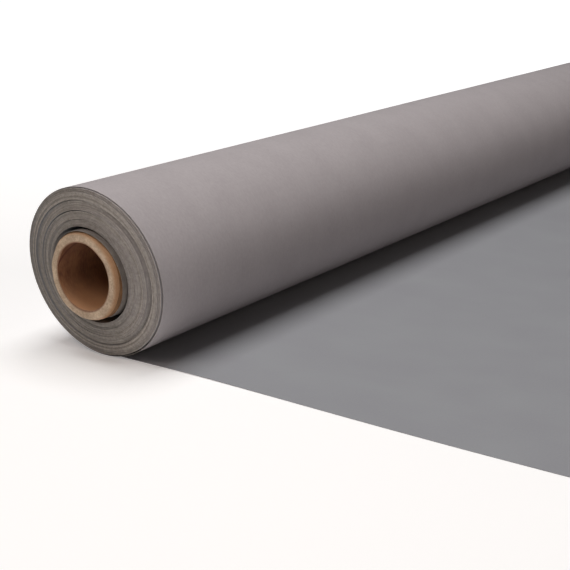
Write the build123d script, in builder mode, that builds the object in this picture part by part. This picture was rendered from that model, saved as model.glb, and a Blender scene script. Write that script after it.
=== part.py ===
from build123d import *

import os
from math import cos, degrees, radians, sin

# A roll of studio backdrop paper lying on the floor, with the first stretch of the web drawn out
# flat. The roll's axis is Y, and the origin is on it, at the middle of the roll's length. +Z is up,
# and the drawn-out stretch runs towards +X.
# The web runs from its free end to the foot of the roll, up the back, over the top, down the
# front, and on round in ever smaller turns to the core, where a strip of tape holds its start.

# Driving dimensions, in mm

bore_diameter = 50.8  # inside of the paper tube, two inches
ply_thickness = 0.6  # one ply of tube board
body_plies = 11  # plies of plain board between the liner and the wrap
core_proud = 12.0  # the core stands out past each end of the roll

web_width = 1350.0  # the half-width roll
paper_thickness = 0.25
roll_radius = 64.5  # over the top turn
winding_slack = 3.4  # the first full turn stands off the core by this much
start_slide = 7.0  # the loose start has slid out of the winding along the core, towards -Y
inner_break = 48.4  # radius where the winding tension changed, and the turns part a little
outer_break = 55.6  # radius of the second such break
top_turn_thickness = 0.25

laid_length = 520.0  # the drawn-out stretch, from the foot of the roll to its free end
tracking_drift = 11.0  # the drawn-out stretch lies this much to one side of the roll
running_gap = 0.3  # between the turning roll and the paper that leaves it
peel_angle = 120.0  # how far up the back the leaving paper is counted, in degrees
peel_tip_share = 0.2  # what is left of its thickness where it merges with the roll

tape_width = 50.0
tape_thickness = 0.25
tape_angle = 300.0  # where the strip of tape starts on the core, in degrees round from +X

# Worked out from them

bore_radius = bore_diameter / 2
core_radius = bore_radius + (body_plies + 2) * ply_thickness
core_length = web_width + 2 * core_proud
winding_bore = core_radius + winding_slack
top_turn_bore = roll_radius - top_turn_thickness
peel_bore = roll_radius + running_gap
floor_z = -(peel_bore + paper_thickness)
half_turn = 180.0
tape_sweep = degrees(tape_width / core_radius)

roll_section = Plane.XZ  # its own x is +X and its own y is +Z
drifted_section = Plane.XZ.offset(-tracking_drift)
slid_section = Plane.XZ.offset(start_slide)

os.makedirs("parts", exist_ok=True)


def save(piece, name):
    """Names a finished piece and writes its file."""
    piece.part.label = name
    export_step(piece.part, f"parts/{name}.step")


def on_circle(radius, angle):
    """A point of the roll's section, at an angle in degrees from +X towards +Z."""
    return (radius * cos(radians(angle)), radius * sin(radians(angle)))


def tube(name, inner_radius, outer_radius, length):
    """A plain tube on the roll's axis: a ply of the core, or turns of the web taken together."""
    with BuildPart() as ring:
        with BuildSketch(roll_section):
            Circle(outer_radius)
            Circle(inner_radius, mode=Mode.SUBTRACT)
        extrude(amount=length / 2, both=True)
    save(ring, name)


# The core: a parallel paper tube of glued plies, from the smooth liner out to the kraft wrap

ply_names = ["core_liner"] + [f"core_ply_{n + 1:02d}" for n in range(body_plies)] + ["core_wrap"]
for layer, ply_name in enumerate(ply_names):
    ply_bore = bore_radius + layer * ply_thickness
    tube(ply_name, ply_bore, ply_bore + ply_thickness, core_length)

# The strip of double-sided tape that holds the start of the web on the core

with BuildPart() as start_tape:
    with BuildSketch(roll_section):
        with BuildLine():
            tape_inner = CenterArc((0, 0), core_radius, tape_angle, tape_sweep)
            tape_outer = CenterArc((0, 0), core_radius + tape_thickness, tape_angle, tape_sweep)
            Line(tape_inner @ 0, tape_outer @ 0)
            Line(tape_inner @ 1, tape_outer @ 1)
        make_face()
    extrude(amount=web_width / 2, both=True)
save(start_tape, "start_tape")

# The loose start of the web: on the tape at one side of the core, and half a turn later against the
# bore of the winding, so it is an arc a little larger than the core and off its centre

start_bore = core_radius + tape_thickness
meeting_bore = winding_bore - paper_thickness
swing_radius = (start_bore + meeting_bore) / 2
swing_centre = on_circle((meeting_bore - start_bore) / 2, tape_angle + tape_sweep / 2 + half_turn)
swing_sweep = half_turn + tape_sweep / 2

with BuildPart() as web_first_turn:
    with BuildSketch(slid_section):
        with BuildLine():
            swing_inner = CenterArc(swing_centre, swing_radius, tape_angle, swing_sweep)
            swing_outer = CenterArc(
                swing_centre, swing_radius + paper_thickness, tape_angle, swing_sweep
            )
            Line(swing_inner @ 0, swing_outer @ 0)
            Line(swing_inner @ 1, swing_outer @ 1)
        make_face()
    extrude(amount=web_width / 2, both=True)
save(web_first_turn, "web_first_turn")

# The winding, parted where the tension changed, and the top turn over it

tube("web_inner_turns", winding_bore, inner_break, web_width)
tube("web_middle_turns", inner_break, outer_break, web_width)
tube("web_outer_turns", outer_break, top_turn_bore, web_width)
tube("web_top_turn", top_turn_bore, roll_radius, web_width)

# The paper that leaves the roll: from the foot up the back, thinning out where it merges

foot_angle = 270.0
peel_tip = foot_angle - peel_angle
tip_radius = peel_bore + peel_tip_share * paper_thickness
middle_radius = (tip_radius + peel_bore + paper_thickness) / 2

with BuildPart() as web_leadoff:
    with BuildSketch(drifted_section):
        with BuildLine():
            peel_inner = CenterArc((0, 0), peel_bore, peel_tip, peel_angle)
            peel_outer = ThreePointArc(
                on_circle(tip_radius, peel_tip),
                on_circle(middle_radius, foot_angle - peel_angle / 2),
                on_circle(peel_bore + paper_thickness, foot_angle),
            )
            Line(peel_inner @ 0, peel_outer @ 0)
            Line(peel_inner @ 1, peel_outer @ 1)
        make_face()
    extrude(amount=web_width / 2, both=True)
save(web_leadoff, "web_leadoff")

# The drawn-out stretch, flat on the floor

with BuildPart() as web_laid:
    with BuildSketch(Plane.XY.offset(floor_z)):
        with Locations((running_gap + laid_length / 2, tracking_drift)):
            Rectangle(laid_length, web_width)
    extrude(amount=paper_thickness)
save(web_laid, "web_laid")

print(f"core {2 * core_radius:.1f} mm across and {core_length:.0f} mm long, floor at {floor_z:.2f}")
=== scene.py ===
# %% [markdown]
# # A roll of backdrop paper, with its first stretch drawn out
#
# A backdrop roll is one very long sheet of paper, the web, wound on a paper tube. Here the roll
# lies on the floor and its first half metre is drawn out flat beside it. There are only three
# things to make, the tube, the web and a strip of tape, so all the looks are in how the web is
# wound: every turn is really there, a quarter of a millimetre thick, and the end of the roll is
# made of some ninety cut edges and not of a picture of them.
#
# The CAD frame comes first. It says where the axis, the floor and the drawn-out stretch are.

# %% The frame
import math

import bpy
import numpy as np
from mathutils import Matrix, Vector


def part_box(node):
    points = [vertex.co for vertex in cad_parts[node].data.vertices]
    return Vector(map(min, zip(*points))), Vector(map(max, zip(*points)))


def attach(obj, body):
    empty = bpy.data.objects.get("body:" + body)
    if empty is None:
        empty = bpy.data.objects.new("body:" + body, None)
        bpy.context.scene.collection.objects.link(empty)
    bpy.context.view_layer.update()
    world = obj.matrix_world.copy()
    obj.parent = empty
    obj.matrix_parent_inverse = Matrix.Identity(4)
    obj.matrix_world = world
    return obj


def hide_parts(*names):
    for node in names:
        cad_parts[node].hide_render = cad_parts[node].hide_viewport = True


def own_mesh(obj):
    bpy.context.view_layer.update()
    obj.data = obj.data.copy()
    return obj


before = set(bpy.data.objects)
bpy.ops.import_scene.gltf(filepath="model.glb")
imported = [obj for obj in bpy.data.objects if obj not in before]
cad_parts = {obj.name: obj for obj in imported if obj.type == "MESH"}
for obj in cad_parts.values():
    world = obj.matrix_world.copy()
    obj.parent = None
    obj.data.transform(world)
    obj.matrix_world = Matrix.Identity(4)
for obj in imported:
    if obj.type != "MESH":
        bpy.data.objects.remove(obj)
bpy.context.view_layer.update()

MM = 0.001

wrap_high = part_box("core_wrap")[1]
liner_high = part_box("core_liner")[1]
top_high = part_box("web_top_turn")[1]
laid_low, laid_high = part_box("web_laid")

ROLL_RADIUS = top_high.x
CORE_RADIUS = wrap_high.x
CORE_HALF = wrap_high.y
WEB_HALF = top_high.y
WEB_WIDTH = 2 * WEB_HALF
FLOOR = laid_low.z
PAPER = 0.25 * MM
PLIES = 13
PLY = (CORE_RADIUS - liner_high.x) / (PLIES - 1)
BORE_RADIUS = liner_high.x - PLY
print(f"roll {2 * ROLL_RADIUS / MM:.1f} mm across, core {2 * CORE_RADIUS / MM:.1f} mm, "
      f"bore {2 * BORE_RADIUS / MM:.1f} mm, floor at {FLOOR / MM:.2f} mm")

# %% [markdown]
# ## Where the camera stands
#
# The camera is low and close to one end of the roll, so that the end is large and the far end
# runs off behind. Its place is given in roll radii from the middle of the near end, which keeps it
# right whatever size the roll is. A longer lens from further away would make the roll look short.

# %% The camera
CAMERA_FROM_END = (9.009, -8.669, 3.624)  # in roll radii
CAMERA_YAW, CAMERA_PITCH, CAMERA_ROLL = -36.31, 17.13, -0.97  # degrees
SENSOR_MM, LENS_MM = 36.0, 72.72

yaw, pitch, tilt = (math.radians(a) for a in (CAMERA_YAW, CAMERA_PITCH, CAMERA_ROLL))
ahead = np.array(
    [math.sin(yaw) * math.cos(pitch), math.cos(yaw) * math.cos(pitch), -math.sin(pitch)]
)
level_right = np.cross(ahead, [0, 0, 1])
level_right /= np.linalg.norm(level_right)
level_up = np.cross(level_right, ahead)
right = math.cos(tilt) * level_right + math.sin(tilt) * level_up
up = math.cos(tilt) * level_up - math.sin(tilt) * level_right
place = np.array(CAMERA_FROM_END) * ROLL_RADIUS + [0, -WEB_HALF, 0]

camera_data = bpy.data.cameras.new("camera")
camera_data.sensor_width = SENSOR_MM
camera_data.lens = LENS_MM
camera = bpy.data.objects.new("camera", camera_data)
camera.matrix_world = Matrix(
    [[right[k], up[k], -ahead[k], place[k]] for k in range(3)] + [[0, 0, 0, 1]]
)
bpy.context.scene.collection.objects.link(camera)
bpy.context.scene.camera = camera
print("camera at", np.round(place, 3), "m")

# %% [markdown]
# ## Finishes
#
# Everything here is matted fibre: paper, board, cloth. Such a surface is matt, and close to it the
# eye sees soft clouds where the fibres lie thicker, lighter and a little higher than between them.
# So one function makes all the finishes from the sizes of those clouds, two tones and the depth of
# the relief. Colours are the hex values that a colour picker shows; they are turned into the linear
# light that the shader works in.

# %% Colours
def paint(hex_value):
    """The linear colour of an sRGB hex value such as "9a9492"."""
    parts = [int(hex_value[k : k + 2], 16) / 255 for k in (0, 2, 4)]
    return [p / 12.92 if p <= 0.04045 else ((p + 0.055) / 1.055) ** 2.4 for p in parts] + [1.0]


print("a picker's middle grey is", round(paint("808080")[0], 3), "of full light")


# %% Adding a node
def node(tree, kind, inputs, **settings):
    """Adds a node with its settings, and sets or links each of its inputs."""
    made = tree.nodes.new(kind)
    for name, value in settings.items():
        setattr(made, name, value)
    for socket, value in inputs.items():
        if isinstance(value, bpy.types.NodeSocket):
            tree.links.new(value, made.inputs[socket])
        else:
            made.inputs[socket].default_value = value
    return made.outputs


# %% A finish of matted fibres
PAPER_IOR = 1.48  # cellulose with air in it
THIN, THICK = 0.34, 0.66  # sums of clouds that give the dark tone and the light one
NAP_STRENGTH = 0.5


def fibres(name, dark, light, clouds, relief_mm, rough=(0.75, 0.88), sheen=0.35, solid=False):
    """A finish of matted fibres. Each cloud is its length and width in mm and its share.

    Clouds lie in the web's own coordinates, metres along and across it, or, for a solid lump
    such as sawn board, in space.
    """
    material = bpy.data.materials.new(name)
    material.use_nodes = True
    tree = material.node_tree
    tree.nodes.clear()
    if solid:
        at = node(tree, "ShaderNodeTexCoord", {})["Object"]
    else:
        at = node(tree, "ShaderNodeUVMap", {}, uv_map="web")["UV"]
    height = 0.0
    for length_mm, width_mm, share in clouds:
        size = (1 / (length_mm * MM), 1 / (width_mm * MM), 1 / (length_mm * MM))
        laid = node(tree, "ShaderNodeMapping", {"Vector": at, "Scale": size})["Vector"]
        cloud = node(
            tree,
            "ShaderNodeTexNoise",
            {"Vector": laid, "Scale": 1.0, "Detail": 2.0, "Roughness": 0.55},
            noise_dimensions="3D" if solid else "2D",
        )["Fac"]
        sum_so_far = {0: cloud, 1: share, 2: height}
        height = node(tree, "ShaderNodeMath", sum_so_far, operation="MULTIPLY_ADD")[0]
    cloudy = {"Value": height, "From Min": THIN, "From Max": THICK}
    tone = node(tree, "ShaderNodeMapRange", cloudy)["Result"]
    tones = {"Factor": tone, "A": paint(dark), "B": paint(light)}
    shade = node(tree, "ShaderNodeMix", tones, data_type="RGBA")["Result"]
    dullness = {"Value": tone, "To Min": rough[0], "To Max": rough[1]}
    matt = node(tree, "ShaderNodeMapRange", dullness)["Result"]
    relief = {"Height": height, "Strength": NAP_STRENGTH, "Distance": relief_mm * MM}
    nap = node(tree, "ShaderNodeBump", relief)["Normal"]
    shader = node(
        tree,
        "ShaderNodeBsdfPrincipled",
        {
            "Base Color": shade,
            "Roughness": matt,
            "Normal": nap,
            "IOR": PAPER_IOR,
            "Specular IOR Level": sheen,
        },
    )["BSDF"]
    node(tree, "ShaderNodeOutputMaterial", {"Surface": shader})
    return material


# %% [markdown]
# Dirt, glue, wear, and painted light and shade come on top of a finish. Each is one more colour,
# mixed over the one that is there by a factor worked out from the place on the piece.

# %% A tint over a finish
def tint_over(material, factor, colour):
    """Lays another colour over a finish, by a factor made in the same tree."""
    tree = material.node_tree
    base = next(n for n in tree.nodes if n.type == "BSDF_PRINCIPLED").inputs["Base Color"]
    tones = {"Factor": factor, "A": base.links[0].from_socket, "B": colour}
    over = node(tree, "ShaderNodeMix", tones, data_type="RGBA")["Result"]
    tree.links.new(over, base)


# %% [markdown]
# ### The two faces of backdrop paper
#
# Backdrop paper is dyed in the pulp, so it is the same grey all through, and it is made on a
# wire: the wire side keeps a faint felt of fibres that lie along the web, and the other side is
# pressed smooth for the camera. Rolled up, the felt side faces out. It is a little lighter and
# warmer. A real fibre is 0.03 mm wide, which no view of the whole roll would show, so the mottle
# is drawn as the clouds of fibres that the eye does see, 2 to 5 mm long, in stretches of a few
# centimetres where the pulp lay thicker.

# %% The paper's faces
felt_side = fibres(
    "paper_felt_side", "a39d9f", "ada7a9", [(40, 25, 0.3), (5, 2.2, 0.35), (2.2, 1.4, 0.35)], 0.07
)
smooth_side = fibres(
    "paper_smooth_side",
    "8f9095",
    "939599",
    [(60, 40, 0.5), (1.6, 1.2, 0.5)],
    0.03,
    rough=(0.66, 0.72),
)
print("two faces:", felt_side.name, "and", smooth_side.name)

# %% [markdown]
# ### The cut edge
#
# The edge is slit by a running knife, so it is a clean wall of fibre ends. It is warmer than the
# faces because light sinks in between the turns, and handling dirties some turns more than others.
# The tone changes along the web, in streaks a centimetre long and in stretches of half a metre and
# two metres, which on the end of the roll come out as whole rings.

# %% The paper's cut edge
ring_clouds = [(1900, 5000, 0.42), (520, 5000, 0.28), (9, 5000, 0.3)]
cut_edge = fibres(
    "paper_cut_edge", "78716b", "cfc7bf", ring_clouds, 0.05, rough=(0.82, 0.95), sheen=0.2
)
print("tones along the cut edge change every", [length for length, _, _ in ring_clouds], "mm")

# %% [markdown]
# ### Dust on the end of the roll, and painted shade on one side
#
# Dust and torn fibres lie across many turns at once, in patches a couple of millimetres wide. One
# side of the end, the one towards −X, is painted darker: that is painted shade for the side that
# the lights don't reach. Both belong to the roll and not to the web, so they are placed in space
# and not along the paper.

# %% Dust, and painted shade on one side
# one tone for the dust and for the painted shade
DUST_AND_SHADE_TONE = "625c55"
DUST_PATCH = 2.2 * MM
DUST_STARTS, DUST_FULL = 0.36, 0.66  # values of the noise
DUST_SHARE, SIDE_SHADE_SHARE = 0.4, 0.52

tree = cut_edge.node_tree
at = node(tree, "ShaderNodeTexCoord", {})["Object"]
patches = {"Vector": at, "Scale": 1 / DUST_PATCH, "Detail": 1.5}
dust = node(tree, "ShaderNodeTexNoise", patches)["Fac"]
dust_fade = {"From Min": DUST_STARTS, "From Max": DUST_FULL, "To Max": DUST_SHARE}
dusty = node(tree, "ShaderNodeMapRange", {"Value": dust, **dust_fade})["Result"]
tint_over(cut_edge, dusty, paint(DUST_AND_SHADE_TONE))

# painted shade: darker towards −X, the side away from the lights
sideways = node(tree, "ShaderNodeSeparateXYZ", {"Vector": at})["X"]
shaded_side_span = {"From Min": 0.5 * ROLL_RADIUS, "From Max": -ROLL_RADIUS, "To Max": SIDE_SHADE_SHARE}
painted_side_shade = node(tree, "ShaderNodeMapRange", {"Value": sideways, **shaded_side_span})["Result"]
tint_over(cut_edge, painted_side_shade, paint(DUST_AND_SHADE_TONE))
print(f"dust in patches of {DUST_PATCH / MM} mm")

# %% [markdown]
# ### Tube board
#
# The tube is spiral-wound from strips of board made of waste paper, brown kraft outside and
# inside and paler plies between, all glued on each other at a slant. The outside of the start of
# the web on it is a dull brownish grey, which is painted shade for the shade that the winding
# casts on it. The strip of tape is plain woven cotton. Its threads are too fine to show, so they
# are drawn as a grain of about a millimetre.

# %% Tube board, paper in painted shade, and tape
kraft_clouds = [(14, 9, 0.5), (4, 1.1, 0.5)]
kraft_wrap = fibres("kraft_wrap", "65472e", "845f3f", kraft_clouds, 0.12, sheen=0.45)
kraft_liner = fibres("kraft_liner", "784e38", "9c6e4c", kraft_clouds, 0.12, sheen=0.4)
plain_board = fibres("plain_board", "a08a72", "b9a389", [(9, 5, 0.5), (3, 1.1, 0.5)], 0.15)
# painted shade: a dark paper for the shaded collar of the web's start round the tube
paper_in_painted_shade = fibres("paper_in_painted_shade", "67605b", "7b736d", [(20, 9, 0.5), (5, 2, 0.5)], 0.1)
cloth_tape = fibres("cloth_tape", "b9ac8c", "cbc0a2", [(1.2, 1.2, 1.0)], 0.1)
print(len(bpy.data.materials), "materials so far, the plain ones of the CAD among them")

# %% [markdown]
# On the outside and in the bore the strips' edges meet in a seam that climbs the tube like a screw
# thread. In coordinates along and across a ply such a thread is a straight slanting line: the share
# of a turn plus the share of the climb is a whole number on it. The seam in the bore is the wider
# one, because nothing presses the liner shut.

# %% Seams
STRIP_ADVANCE = 92.0 * MM  # how far the seam climbs in one turn
SEAM_SHARE = 0.8  # how much of the dark colour shows in the middle of a seam
SEAM_CORE = 0.4  # the share of a seam's width that is fully dark

for kraft, radius, seam_dark, seam_half in (
    (kraft_wrap, CORE_RADIUS, "5f4029", 0.006),
    (kraft_liner, BORE_RADIUS, "5c2c22", 0.022),
):
    tree = kraft.node_tree
    at = node(tree, "ShaderNodeUVMap", {}, uv_map="web")["UV"]
    turns_up = (1 / (2 * math.pi * radius), 1 / STRIP_ADVANCE, 1)
    climbed = node(tree, "ShaderNodeMapping", {"Vector": at, "Scale": turns_up})["Vector"]
    shares = node(tree, "ShaderNodeSeparateXYZ", {"Vector": climbed})
    climb = node(tree, "ShaderNodeMath", {0: shares["X"], 1: shares["Y"]}, operation="ADD")[0]
    from_seam = node(tree, "ShaderNodeMath", {0: climb, 1: 0.5}, operation="PINGPONG")[0]
    fade = {"From Min": seam_half, "From Max": SEAM_CORE * seam_half, "To Max": SEAM_SHARE}
    seam = node(tree, "ShaderNodeMapRange", {"Value": from_seam, **fade})["Result"]
    tint_over(kraft, seam, paint(seam_dark))
    print(f"{kraft.name}: seam {2 * seam_half * 2 * math.pi * radius / MM:.1f} mm wide")

# %% [markdown]
# The bottom of the bore is painted paler, as painted light that comes in through the mouth, and
# the top is painted darker, as painted shade. Two tints do it, each by height in the bore.

# %% Painted light and shade in the bore
LIGHT_AND_SHADE_STARTS = 0.2  # the share of the bore's radius at which a tint begins

tree = kraft_liner.node_tree
at = node(tree, "ShaderNodeTexCoord", {})["Object"]
height_in_bore = node(tree, "ShaderNodeSeparateXYZ", {"Vector": at})["Z"]
# painted light at the bottom of the bore, painted shade at its top
for side, share, colour in ((-1.0, 0.8, "cc9c74"), (1.0, 0.55, "4c261c")):
    ends = {"From Min": LIGHT_AND_SHADE_STARTS * side * BORE_RADIUS, "From Max": side * BORE_RADIUS}
    by_height = {"Value": height_in_bore, **ends, "To Max": share}
    painted_light_and_shade = node(tree, "ShaderNodeMapRange", by_height)["Result"]
    tint_over(kraft_liner, painted_light_and_shade, paint(colour))
# the pale bottom is painted light
print("bore rubbed pale at the bottom")

# %% [markdown]
# The saw leaves the end of the tube fuzzy and pale, so that the plies are hard to tell apart there.
# Only the glue that soaked the outermost plies makes them orange, further in on one side than on
# the other, and the end of the liner keeps the liner's brown. Both are rings round an axis, so they
# go by the distance from it, and the orange one's axis is a little off the tube's.

# %% The sawn end of the tube
SOAKED_OFF_AXIS = (1.3 * MM, 0, 0.8 * MM)
SOAKED_DEPTH = 4.0 * PLY
LINER_GONE, LINER_FULL = 2.2 * PLY, 0.4 * PLY  # out from the bore
SOAKED_SHARE, LINER_SHARE = 0.8, 0.75

sawn_board = fibres(
    "sawn_board",
    "957f6a",
    "d4bda3",
    [(11, 11, 0.4), (3, 3, 0.25), (1.2, 1.2, 0.35)],
    0.35,
    solid=True,
)
tree = sawn_board.node_tree
at = node(tree, "ShaderNodeTexCoord", {})["Object"]
soaked_ring = {"From Min": CORE_RADIUS - SOAKED_DEPTH, "From Max": CORE_RADIUS}
liner_ring = {"From Min": BORE_RADIUS + LINER_GONE, "From Max": BORE_RADIUS + LINER_FULL}
for off_axis, ring, share, colour in (
    (SOAKED_OFF_AXIS, soaked_ring, SOAKED_SHARE, "976b45"),
    ((0, 0, 0), liner_ring, LINER_SHARE, "75482f"),
):
    moved = node(tree, "ShaderNodeVectorMath", {0: at, 1: off_axis}, operation="ADD")["Vector"]
    flat = node(tree, "ShaderNodeVectorMath", {0: moved, 1: (1, 0, 1)}, operation="MULTIPLY")
    from_axis = node(tree, "ShaderNodeVectorMath", {0: flat["Vector"]}, operation="LENGTH")["Value"]
    by_radius = {"Value": from_axis, **ring, "To Max": share}
    tinted = node(tree, "ShaderNodeMapRange", by_radius)["Result"]
    tint_over(sawn_board, tinted, paint(colour))
print(f"glue soaked {SOAKED_DEPTH / MM:.1f} mm in from the outside")

# %% [markdown]
# ## One way to make every layer
#
# A turn of paper, a ply of the tube and the strip of tape are the same thing: a thin layer with an
# outside, an inside and a rim. So one function makes them all from two grids of points. The rows
# of a grid run along the web and its columns run across it. Each layer is a closed shell with its
# real thickness, and it carries coordinates in metres along and across, for the finishes.

# %% A layer
SHARP_ANGLE = math.radians(50)  # a rim stays crisp, a skin stays smooth


def layer(name, outside, inside, along, across, finishes, closed=False):
    """A closed shell between two grids of points. finishes are for outside, inside and rim."""
    rows, columns = outside.shape[:2]
    points = np.concatenate([outside.reshape(-1, 3), inside.reshape(-1, 3)])
    number = np.arange(rows * columns).reshape(rows, columns)
    if closed:
        number = np.concatenate([number, number[:1]])
    a, b, c, d = number[:-1, :-1], number[1:, :-1], number[1:, 1:], number[:-1, 1:]
    under = rows * columns
    skins = [np.stack([a, b, c, d], -1), np.stack([d, c, b, a], -1) + under]
    near, far = number[:, 0], number[:, -1]
    rims = [
        np.stack([near[:-1], near[:-1] + under, near[1:] + under, near[1:]], -1),
        np.stack([far[1:], far[1:] + under, far[:-1] + under, far[:-1]], -1),
    ]
    if not closed:
        first, last = number[0], number[-1]
        rims += [
            np.stack([first[1:], first[1:] + under, first[:-1] + under, first[:-1]], -1),
            np.stack([last[:-1], last[:-1] + under, last[1:] + under, last[1:]], -1),
        ]
    groups = [skins[0].reshape(-1, 4), skins[1].reshape(-1, 4), np.concatenate(rims)]
    faces = np.concatenate(groups)
    mesh = bpy.data.meshes.new(name)
    mesh.from_pydata(points.tolist(), [], faces.tolist())
    for material in finishes:
        mesh.materials.append(material)
    mesh.polygons.foreach_set("material_index", np.repeat([0, 1, 2], [len(g) for g in groups]))

    # a ring's closing faces run from the last row on to the first, so there the first row's
    # coordinates go on past the last row's, and don't run all the way back
    grid = np.stack(np.broadcast_arrays(along[:, None], across), -1).reshape(-1, 2)
    at = np.concatenate([grid, grid])[faces]
    if closed:
        step = along[1] - along[0]
        behind = at[..., 0].max(1, keepdims=True) - at[..., 0] > 2 * step
        at[..., 0] = np.where(behind, at[..., 0] + along[-1] + step - along[0], at[..., 0])
    web = mesh.uv_layers.new(name="web")
    web.data.foreach_set("uv", at.astype(np.float32).ravel())
    mesh.polygons.foreach_set("use_smooth", np.ones(len(faces), bool))
    mesh.set_sharp_from_angle(angle=SHARP_ANGLE)
    mesh.update()
    piece = bpy.data.objects.new(name, mesh)
    bpy.context.scene.collection.objects.link(piece)
    return piece


# %% Points round the axis
def round_axis(radius, angle, y):
    """Points at that radius and angle round the axis, from +X towards +Z."""
    radius, angle, y = np.broadcast_arrays(radius, angle, y)
    return np.stack([radius * np.cos(angle), y, radius * np.sin(angle)], -1)


# %% What a piece stands for
def place_on(piece, body, slot, *nodes):
    """The piece moves with that body and stands for those CAD nodes."""
    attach(piece, body)
    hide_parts(*nodes)


# %% [markdown]
# ## The tube
#
# Thirteen plies are glued on each other. The saw left each ply a hair longer or shorter than the
# next, and handling has done the rest: the outer edge of the end is bruised round, and the mouth of
# the bore is dented. A bevel would make all of that even, so each ply is a layer of its own, and its
# two ends follow the worn shape.

# %% Smooth wanders round the tube
rng = np.random.default_rng(3)
PLY_STEPS = 180
ply_turn = np.arange(PLY_STEPS) / PLY_STEPS * 2 * math.pi


def wander(size, waves):
    """A smooth closed wander round the tube, made of that many waves."""
    total = np.zeros(PLY_STEPS)
    for k in range(1, waves + 1):
        share = rng.normal()
        total += share * np.cos(k * ply_turn + rng.uniform(0, 2 * math.pi)) / math.sqrt(waves)
    return size * total


saw_wave = [wander(0.15 * MM, 3), wander(0.15 * MM, 3)]
dents = [np.clip(wander(1.1 * MM, 7), 0, 0.9 * MM) for _ in range(2)]
print(f"the saw wandered {np.ptp(saw_wave[0]) / MM:.1f} mm, dents {dents[0].max() / MM:.1f} mm deep")

# %% The bruised edge and the mouth of the bore
BRUISE_WIDTH, BRUISE_DEPTH = 4.0 * MM, 3.6 * MM
MOUTH_WIDTH, MOUTH_DEPTH = 1.5 * MM, 0.5 * MM
DENT_REACH = 6 * MM


def worn(radius):
    """How far the end is worn back at a radius: rounded outside, and a little at the bore."""
    outside = np.clip(1 - (CORE_RADIUS - radius) / BRUISE_WIDTH, 0, 1)
    inside = np.clip(1 - (radius - BORE_RADIUS) / MOUTH_WIDTH, 0, 1)
    return BRUISE_DEPTH * (1 - np.sqrt(1 - outside**2)) + MOUTH_DEPTH * inside**2


# rows of points close together at the ends, where the wear is, and far apart between them
from_end = np.array([0, 0.3, 0.8, 1.6, 3, 5, 8, 13, 22, 150, 500]) * MM
near_share = np.concatenate([np.exp(-from_end / DENT_REACH), 0 * from_end])[None, :]
dent = dents[0][:, None] * near_share + dents[1][:, None] * near_share[:, ::-1]
print(f"outer edge worn back {worn(CORE_RADIUS) / MM:.1f} mm, mouth {worn(BORE_RADIUS) / MM:.1f} mm")

# %% The plies
GLUE_LINE = 0.02 * MM
CUT_SHORT = 0.3 * MM  # keeps the longest fuzz inside the tube's length
FINISH_OF = {"core_liner": kraft_liner, "core_wrap": kraft_wrap}
SLOT_OF = {"core_liner": "core_liner_board", "core_wrap": "core_kraft_board"}

body_plies = [f"core_ply_{k + 1:02d}" for k in range(PLIES - 2)]
for count, ply_name in enumerate(["core_liner", *body_plies, "core_wrap"]):
    low = BORE_RADIUS + count * PLY
    fuzz = [wander(0.05 * MM, 9) + wander(0.04 * MM, 45) for _ in range(2)]
    skins = []
    for radius in (low + PLY - GLUE_LINE, low):
        ends = [saw_wave[k] + fuzz[k] + worn(radius) + CUT_SHORT for k in range(2)]
        near = -CORE_HALF + ends[0][:, None] + from_end
        far = CORE_HALF - ends[1][:, None] - from_end[::-1]
        y = np.concatenate([near, far], 1)
        skins.append(round_axis(radius - dent, ply_turn[:, None], y))
    skin = FINISH_OF.get(ply_name, plain_board)
    finishes = (skin, skin, sawn_board)
    ply = layer("tube_" + ply_name, *skins, ply_turn * low, y, finishes, closed=True)
    place_on(ply, "roll", SLOT_OF.get(ply_name, "core_ply_board"), ply_name)
print(PLIES, "plies of", round(PLY / MM, 2), "mm")

# %% [markdown]
# ## The winding
#
# The winding is one spiral, worked out from the outside in. Each turn is a paper's thickness and a
# little air smaller than the one outside it. Where the winder changed tension the turns part and
# leave a dark ring, wider on one side than on the other. The last such gap is right under the top
# turn, which gives the roll its thin dark outline on one side.
#
# It could be a Screw modifier on a short line, but that can't vary the turns, so the points are
# worked out directly. The web is cut into pieces at the partings.

# %% The partings
TURNS = 92
STEPS_PER_TURN = 96
FOOT = 1.5 * math.pi  # the web leaves the roll at its lowest point
UNDER_TOP = 0.1 * MM  # the least room between the winding and the top turn
OUTSIDE = ROLL_RADIUS - PAPER - UNDER_TOP
WINDING_BORE = CORE_RADIUS + 3.4 * MM

# the turn at which each parting is, its mean width, how much wider it is on its wide side as a
# share of that, and the direction of the wide side
PARTINGS = (
    (17.0, 0.25 * MM, 0.95, math.radians(15)),
    (38.0, 0.38 * MM, 0.95, math.radians(130)),
    (62.0, 0.45 * MM, 0.95, math.radians(192)),
    (TURNS + 0.5, 0.38 * MM, 0.97, math.radians(-32)),
)
PITCH = (OUTSIDE - PAPER - WINDING_BORE - sum(p[1] for p in PARTINGS)) / TURNS
print(f"{TURNS} turns {PITCH / MM:.3f} mm apart, of paper {PAPER / MM:.2f} mm thick")


# %% The spiral
def spiral(turn):
    """Angle, and radius of the paper's inner face, at a count of turns from the winding's start."""
    angle = FOOT + 2 * math.pi * (turn - TURNS)
    radius = OUTSIDE - PAPER - (TURNS - turn) * PITCH
    for at, width, uneven, direction in PARTINGS:
        inside = np.clip(at + 0.5 - turn, 0, 1)
        radius = radius - inside * width * (1 + uneven * np.cos(angle - direction))
    return angle, radius


# %% [markdown]
# The tube hangs loose in the innermost turns, which have settled to one side of it. The end of the
# roll isn't flat either: the whole roll leans a little along its axis, the turns stand in and out in
# broad ridges with two grooves on one side, and each turn is a few tenths of a millimetre off its
# neighbours. Those are the rings the eye sees. All of it is in where the near edge of the web lies,
# so the web slides along the axis as a whole and keeps its width.

# %% Settling, lean, ridges and grooves
OFF_CENTRE = np.array([-2.3, 0, -1.2]) * MM  # of the innermost turn
LEAN_X, LEAN_Z = 0.021, -0.099  # how much the end leans, along the axis per metre

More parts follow.
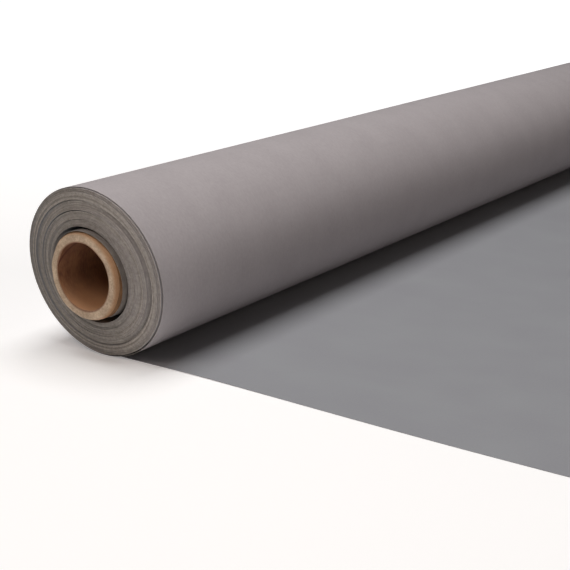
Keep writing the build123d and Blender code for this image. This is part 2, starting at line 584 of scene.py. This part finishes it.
# how far the turns stand out of the end all round, and how deep the grooves are on the +X side,
# each in mm at a radius in mm
RIDGE_RADII = [36, 38, 40, 42, 44, 46, 49, 52, 53.5, 55.5, 58, 62, 65]
RIDGE_HEIGHTS = [2.3, 2.3, 1.6, 1.7, 1.0, 1.6, 1.7, 0.8, 0.6, 1.7, 1.5, 0.9, 0.4]
GROOVE_RADII = [45, 47, 51, 54.0, 56.3]
GROOVE_DEPTHS = [0, 0.9, 0, 3.1, 0]

# each turn's own place along the axis: drifts over a few turns, and a little scatter
DRIFT_TURNS, DRIFT_SIZE, SCATTER_SIZE = 7, 0.33 * MM, 0.12 * MM
rng = np.random.default_rng(11)
drifts = np.convolve(rng.normal(size=TURNS + 12), np.hanning(DRIFT_TURNS) / 2.0, "same")[5:]
TELESCOPE = DRIFT_SIZE * drifts + SCATTER_SIZE * rng.normal(size=len(drifts))
print(f"turns stand {np.ptp(TELESCOPE) / MM:.1f} mm in and out of line")


def settled(points, radius):
    """The points moved off centre, the more the further in their turn is."""
    share = (ROLL_RADIUS - radius) / (ROLL_RADIUS - WINDING_BORE)
    return points + share[..., None, None] * OFF_CENTRE


def near_edge(turn, angle, radius):
    """Where the near edge of the web is along the axis."""
    lean = LEAN_X * radius * np.cos(angle) + LEAN_Z * radius * np.sin(angle)
    ridge = np.interp(radius / MM, RIDGE_RADII, RIDGE_HEIGHTS) * MM
    groove = np.interp(radius / MM, GROOVE_RADII, GROOVE_DEPTHS) * MM
    off = np.interp(turn, np.arange(len(TELESCOPE)), TELESCOPE)
    return -WEB_HALF + lean - ridge + groove * np.clip(np.cos(angle), 0, 1) + off


# %% Turns of the web
def wound(name, first, last):
    """The turns of the web from one count to another, and how much web they hold."""
    turn = np.linspace(first, last, int(round((last - first) * STEPS_PER_TURN)) + 1)
    angle, radius = spiral(turn)
    steps = np.hypot(np.diff(radius), radius[1:] * np.diff(angle))
    along = np.concatenate([[0], np.cumsum(steps)])
    y = near_edge(turn, angle, radius)[:, None] + np.array([[0, WEB_WIDTH]])
    piece = layer(
        name,
        settled(round_axis(radius[:, None] + PAPER, angle[:, None], y), radius),
        settled(round_axis(radius[:, None], angle[:, None], y), radius),
        along + first,  # each piece starts elsewhere in the clouds
        y + WEB_HALF,
        (felt_side, smooth_side, cut_edge),
    )
    print(f"{name}: {last - first:.0f} turns, {along[-1]:.1f} m")
    return piece, along[-1]


# %% [markdown]
# ### The tape and the loose start of the web
#
# A strip of double-sided tape holds the web's first edge on the tube. The web goes round the tube
# once with hardly any tension, so it has slid out of the winding along the tube and shows as a grey
# collar. Then it leaves the tube and meets the innermost turn. So the loose start is worked out
# twice, once lying on the tube and once lying in the winding, and swings over from one to the other.

# %% The tape
TAPE_ANGLE, TAPE_THICKNESS, TAPE_WIDTH = math.radians(300), 0.25 * MM, 50 * MM
TAPE_MARGIN = 1.5 * MM  # the tape stops this far inside the web's edges
ARC_STEPS = 60

tape_turn = TAPE_ANGLE + np.linspace(0, TAPE_WIDTH / CORE_RADIUS, ARC_STEPS)
tape_y = np.array([[-WEB_HALF + TAPE_MARGIN, WEB_HALF - TAPE_MARGIN]])
tape = layer(
    "start_tape_strip",
    round_axis(CORE_RADIUS + TAPE_THICKNESS, tape_turn[:, None], tape_y),
    round_axis(CORE_RADIUS + 0.01 * MM, tape_turn[:, None], tape_y),
    tape_turn * CORE_RADIUS,
    tape_y,
    (cloth_tape, cloth_tape, cloth_tape),
)
place_on(tape, "roll", "tape", "start_tape")
print(f"tape {TAPE_WIDTH / MM:.0f} mm wide")

# %% The loose start of the web
HUGS_UNTIL = math.radians(470)  # from here on the web swings out to the winding
SLID_OUT = 4.5 * MM
ON_TUBE = CORE_RADIUS + TAPE_THICKNESS + 0.03 * MM

first_radius = spiral(np.zeros(1))[1]
meets_at = 2 * math.pi + FOOT  # the winding's first point, in the turn after the tape
start_turn = np.linspace(TAPE_ANGLE, meets_at, 5 * ARC_STEPS)
swing = np.clip((start_turn - HUGS_UNTIL) / (meets_at - HUGS_UNTIL), 0, 1)
swing = swing * swing * (3 - 2 * swing)
start_y = near_edge(0.0, start_turn, first_radius) - SLID_OUT * (1 - swing)
start_y = start_y[:, None] + np.array([[0, WEB_WIDTH]])
start_skins = []
for thickness in (PAPER, 0.0):
    on_tube = round_axis(ON_TUBE + thickness, start_turn[:, None], start_y)
    on_axis = round_axis(first_radius + thickness, start_turn[:, None], start_y)
    in_winding = settled(on_axis, first_radius)
    start_skins.append(on_tube + swing[:, None, None] * (in_winding - on_tube))
start_along = (start_turn - TAPE_ANGLE) * CORE_RADIUS
web_start = layer(
    "wound_first_turn",
    *start_skins,
    start_along,
    start_y + WEB_HALF,
    # the collar's outside is painted shade
    (paper_in_painted_shade, smooth_side, cut_edge),
)
place_on(web_start, "roll", "backdrop_paper", "web_first_turn")
print(f"loose start: {start_along[-1]:.3f} m")

# %% [markdown]
# ### The turns between the start and the top
#
# Three pieces hold them, cut where the two wider partings are. Each rests on the one inside it.

# %% The turns
INNER_BREAK, OUTER_BREAK = 38.5, 62.5  # in turns, just outside a parting
groups = (
    ("wound_inner_turns", "web_inner_turns", 0, INNER_BREAK),
    ("wound_middle_turns", "web_middle_turns", INNER_BREAK, OUTER_BREAK),
    ("wound_outer_turns", "web_outer_turns", OUTER_BREAK, TURNS),
)
for name, cad_name, first, last in groups:
    turns, length = wound(name, first, last)
    place_on(turns, "roll", "backdrop_paper", cad_name)

# %% [markdown]
# ## The top turn
#
# The top turn is the surface that shows. Paper wound this loosely is never a true cylinder: it has
# long shallow swells, less than a tenth of a millimetre high, that only the light along it gives
# away. It rides on the roll, so it is made as a closed turn: the step where the web really ends its
# turn is in the piece that leaves the roll.

# %% The top turn
TOP_STEPS, TOP_COLUMNS = 300, 96
SWELL_WAVES, SWELL_HEIGHT = 14, 0.018 * MM
ANY_PHASE = 6.3  # radians, a full cycle

rng = np.random.default_rng(29)
top_turn = FOOT + np.arange(TOP_STEPS) / TOP_STEPS * 2 * math.pi
top_across = np.linspace(0, 1, TOP_COLUMNS)[None, :] * WEB_WIDTH
swell = np.zeros((TOP_STEPS, TOP_COLUMNS))
for _ in range(SWELL_WAVES):
    cycles = rng.uniform(2, 9)
    along_axis = cycles * 2 * math.pi * top_across / WEB_WIDTH + rng.uniform(0, ANY_PHASE)
    round_roll = rng.integers(0, 4) * top_turn[:, None] + rng.uniform(0, ANY_PHASE)
    swell += SWELL_HEIGHT * np.cos(along_axis) * np.cos(round_roll)
top_outside = ROLL_RADIUS + swell
lean = LEAN_X * ROLL_RADIUS * np.cos(top_turn) + LEAN_Z * ROLL_RADIUS * np.sin(top_turn)
top_y = -WEB_HALF + lean[:, None] + top_across
top = layer(
    "wound_top_turn",
    round_axis(top_outside, top_turn[:, None], top_y),
    round_axis(top_outside - PAPER, top_turn[:, None], top_y),
    top_turn * ROLL_RADIUS,
    top_across,
    (felt_side, smooth_side, cut_edge),
    closed=True,
)
place_on(top, "roll", "backdrop_paper", "web_top_turn")

# %% [markdown]
# ## The stretch on the floor, and the paper that leaves the roll
#
# The drawn-out stretch keeps a memory of the roll. It lies flat under the roll, lifts off the floor
# by half a millimetre beyond it, and turns up a little at its free end. Its edge isn't in line with
# the roll's end either, because the roll tracks sideways as it is rolled out, and it sways a
# millimetre from straight. Cloth simulation would make folds that stiff paper doesn't have, so the
# lifts are worked out as smooth swells.

# %% How the stretch lies
LAID_LENGTH = laid_high.x
LAID_NEAR_EDGE = laid_low.y
LAID_ROWS, LAID_COLUMNS = 150, 120
CURL_MEMORY, CURL_REACH = 0.5 * MM, 78 * MM
END_CURL, END_CURL_REACH = 3.0 * MM, 55 * MM
RIPPLES, RIPPLE_HEIGHT = 9, 0.022 * MM
CLEAR_REACH = 60 * MM  # so near the foot of the roll the paper can't lift
SWAY, SWAY_LENGTH, SWAY_PHASE = 1.2 * MM, 0.42, 0.6

rng = np.random.default_rng(41)
x = np.linspace(0.1 * MM, LAID_LENGTH, LAID_ROWS)[:, None]
across = np.linspace(0, WEB_WIDTH, LAID_COLUMNS)[None, :]
from_crest = (x - CURL_REACH) / (0.45 * CURL_REACH)
lift = CURL_MEMORY * np.exp(-(from_crest**2)) * np.ones_like(across)
ripples = np.zeros((LAID_ROWS, LAID_COLUMNS))
for _ in range(RIPPLES):
    run = rng.uniform(1.0, 3.5) * 2 * math.pi * x / LAID_LENGTH + rng.uniform(0, ANY_PHASE)
    side = rng.uniform(0.8, 4.0) * 2 * math.pi * across / WEB_WIDTH + rng.uniform(0, ANY_PHASE)
    ripples += RIPPLE_HEIGHT * (1 + np.cos(run + side))
clear_of_roll = 1 - np.exp(-((x / CLEAR_REACH) ** 2))
end_share = np.clip((x - (LAID_LENGTH - END_CURL_REACH)) / END_CURL_REACH, 0, 1)
height = clear_of_roll * (lift + ripples) + END_CURL * end_share**2
print(f"drawn-out stretch: {LAID_LENGTH:.3f} m, lifts {height.max() / MM:.1f} mm at most")

# %% [markdown]
# As the roll travels over the stretch, the stretch gets shorter towards its free end, which is
# exactly what happens when the roll takes it up. So the piece is kept off the roll's body, on a
# body of its own, and has a mesh of its own.

# %% The drawn-out stretch
edge_sway = SWAY * np.sin(2 * math.pi * x / SWAY_LENGTH + SWAY_PHASE) * clear_of_roll
laid_y = LAID_NEAR_EDGE + across + edge_sway
top_z = FLOOR + PAPER + height
stretch = layer(
    "drawn_out_stretch",
    np.stack(np.broadcast_arrays(x, laid_y, top_z), -1),
    np.stack(np.broadcast_arrays(x, laid_y, top_z - PAPER), -1),
    x[:, 0],
    laid_y + WEB_HALF,
    (smooth_side, felt_side, smooth_side),
)
place_on(stretch, "laid_stretch", "backdrop_paper", "web_laid")
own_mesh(stretch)

# %% [markdown]
# The paper leaves the roll at its foot and can be followed up the back, where it thins out to
# nearly nothing because beyond that it belongs to the turn that rides on the roll. On the way its
# edge drifts from the line of the drawn-out stretch to the line of the roll's end.

# %% The paper that leaves the roll
PEEL_ANGLE, PEEL_STEPS, PEEL_COLUMNS = math.radians(118), 90, 40
PEEL_GAP, GAP_LOST = 0.30 * MM, 0.05 * MM  # room over the roll at the foot, and less of it above
THINNED = 0.9  # the share of its thickness that is gone at the tip

peel = np.linspace(0, 1, PEEL_STEPS)[:, None]
peel_turn = FOOT - PEEL_ANGLE * peel
peel_inside = ROLL_RADIUS + PEEL_GAP - GAP_LOST * peel
peel_thick = PAPER * (1 - THINNED * peel)
peel_across = np.linspace(0, 1, PEEL_COLUMNS)[None, :] * WEB_WIDTH
roll_edge = -WEB_HALF + ROLL_RADIUS * (LEAN_X * np.cos(peel_turn) + LEAN_Z * np.sin(peel_turn))
drift = peel * peel * (3 - 2 * peel)
peel_y = LAID_NEAR_EDGE * (1 - drift) + roll_edge * drift + peel_across
peel_length = PEEL_ANGLE * ROLL_RADIUS
leaving = layer(
    "leaving_paper",
    round_axis(peel_inside + peel_thick, peel_turn, peel_y),
    round_axis(peel_inside * np.ones_like(peel_y), peel_turn, peel_y),
    -(peel[:, 0] * peel_length),
    peel_across,
    (felt_side, smooth_side, cut_edge),
)
place_on(leaving, "leaving_web", "backdrop_paper", "web_leadoff")
print(f"leaving paper: {peel_length:.3f} m up the back")

# %% [markdown]
# ## Floor and light
#
# The roll lies on a white table that glows by itself, as the light tables for small goods do, so
# there is hardly a shadow beyond the paper. Near the roll it glows only a little, because light from
# below would wash out the roll's underside and the bore. It glows more and more behind the roll and
# far out, where all it has to do is look white.

# %% The floor's finish
NEAR_GLOW, FAR_GLOW = 0.17, 1.0
BEHIND = (-0.6, 0.8, 0)  # the direction that counts as behind the roll
BACK_STARTS, BACK_FULL = -0.3, 1.5  # metres in that direction
RIM_STARTS, RIM_FULL = 1.7, 3.4  # metres from the middle

white_table = bpy.data.materials.new("white_table")
white_table.use_nodes = True
tree = white_table.node_tree
shader = tree.nodes["Principled BSDF"]
shader.inputs["Base Color"].default_value = paint("f6f6f6")
shader.inputs["Roughness"].default_value = 0.6
shader.inputs["Specular IOR Level"].default_value = 0.1
shader.inputs["Emission Color"].default_value = paint("ffffff")
where = node(tree, "ShaderNodeTexCoord", {})["Object"]
back = node(tree, "ShaderNodeVectorMath", {0: where, 1: BEHIND}, operation="DOT_PRODUCT")["Value"]
away = node(tree, "ShaderNodeVectorMath", {0: where}, operation="LENGTH")["Value"]
glows = {"To Min": NEAR_GLOW, "To Max": FAR_GLOW}
to_back = {"Value": back, "From Min": BACK_STARTS, "From Max": BACK_FULL, **glows}
to_rim = {"Value": away, "From Min": RIM_STARTS, "From Max": RIM_FULL, **glows}
both = {k: node(tree, "ShaderNodeMapRange", r)["Result"] for k, r in enumerate((to_back, to_rim))}
glow = node(tree, "ShaderNodeMath", both, operation="MAXIMUM")[0]
tree.links.new(glow, shader.inputs["Emission Strength"])
print("floor glows from", NEAR_GLOW, "to", FAR_GLOW)

# %% The floor
FLOOR_HALF = 80.0  # metres, out to where it looks like a horizon
floor_z = FLOOR - 0.05 * MM
corners = [(-1, -1), (1, -1), (1, 1), (-1, 1)]
floor_points = [(east * FLOOR_HALF, north * FLOOR_HALF, floor_z) for east, north in corners]
floor_mesh = bpy.data.meshes.new("floor")
floor_mesh.from_pydata(floor_points, [], [(0, 1, 2, 3)])
floor_mesh.materials.append(white_table)
floor = bpy.data.objects.new("floor", floor_mesh)
bpy.context.scene.collection.objects.link(floor)
print(f"floor at {floor_z / MM:.2f} mm")

# %% [markdown]
# One wide soft light hangs straight over the roll: it makes the top of the roll bright, leaves the
# front to fall off smoothly towards the foot, and lays the soft dark band on the paper beside it. A
# slightly warmer one in front lights the end of the roll and reaches into the bore, and a weak one
# on the right keeps the lower front from going black. The Standard view transform shows the hex
# colours as they were picked.

# %% A soft light
def soft_box(name, place, target, size, watts, colour="ffffff"):
    """A rectangular soft light that looks at a point."""
    data = bpy.data.lights.new(name, "AREA")
    data.shape = "RECTANGLE"
    data.size, data.size_y = size
    data.energy = watts
    data.color = paint(colour)[:3]
    light = bpy.data.objects.new(name, data)
    toward = np.subtract(target, place).astype(float)
    toward /= np.linalg.norm(toward)
    side = np.cross(toward, [0.01, 1, 0.3])
    side /= np.linalg.norm(side)
    over = np.cross(side, toward)
    light.matrix_world = Matrix(
        [[side[k], over[k], -toward[k], place[k]] for k in range(3)] + [[0, 0, 0, 1]]
    )
    bpy.context.scene.collection.objects.link(light)
    print(f"{name}: {watts} W, {size[0]} by {size[1]} m")


# %% Light
WORLD_STRENGTH = 0.035
WARM_WHITE = "ffefe4"

world = bpy.data.worlds.new("studio")
bpy.context.scene.world = world
world.use_nodes = True
background = world.node_tree.nodes["Background"]
background.inputs["Color"].default_value = paint("ffffff")
background.inputs["Strength"].default_value = WORLD_STRENGTH

soft_box("overhead", (0.0, -0.52, 1.9), (0.0, -0.52, 0), (1.15, 1.5), 29)
soft_box("front", (0.05, -2.1, 1.9), (0, -0.67, 0), (1.2, 1.0), 14.8, WARM_WHITE)
soft_box("right", (2.0, -0.35, 0.9), (0, -0.35, 0), (1.0, 1.8), 5.0, WARM_WHITE)
bpy.context.scene.view_settings.view_transform = "Standard"
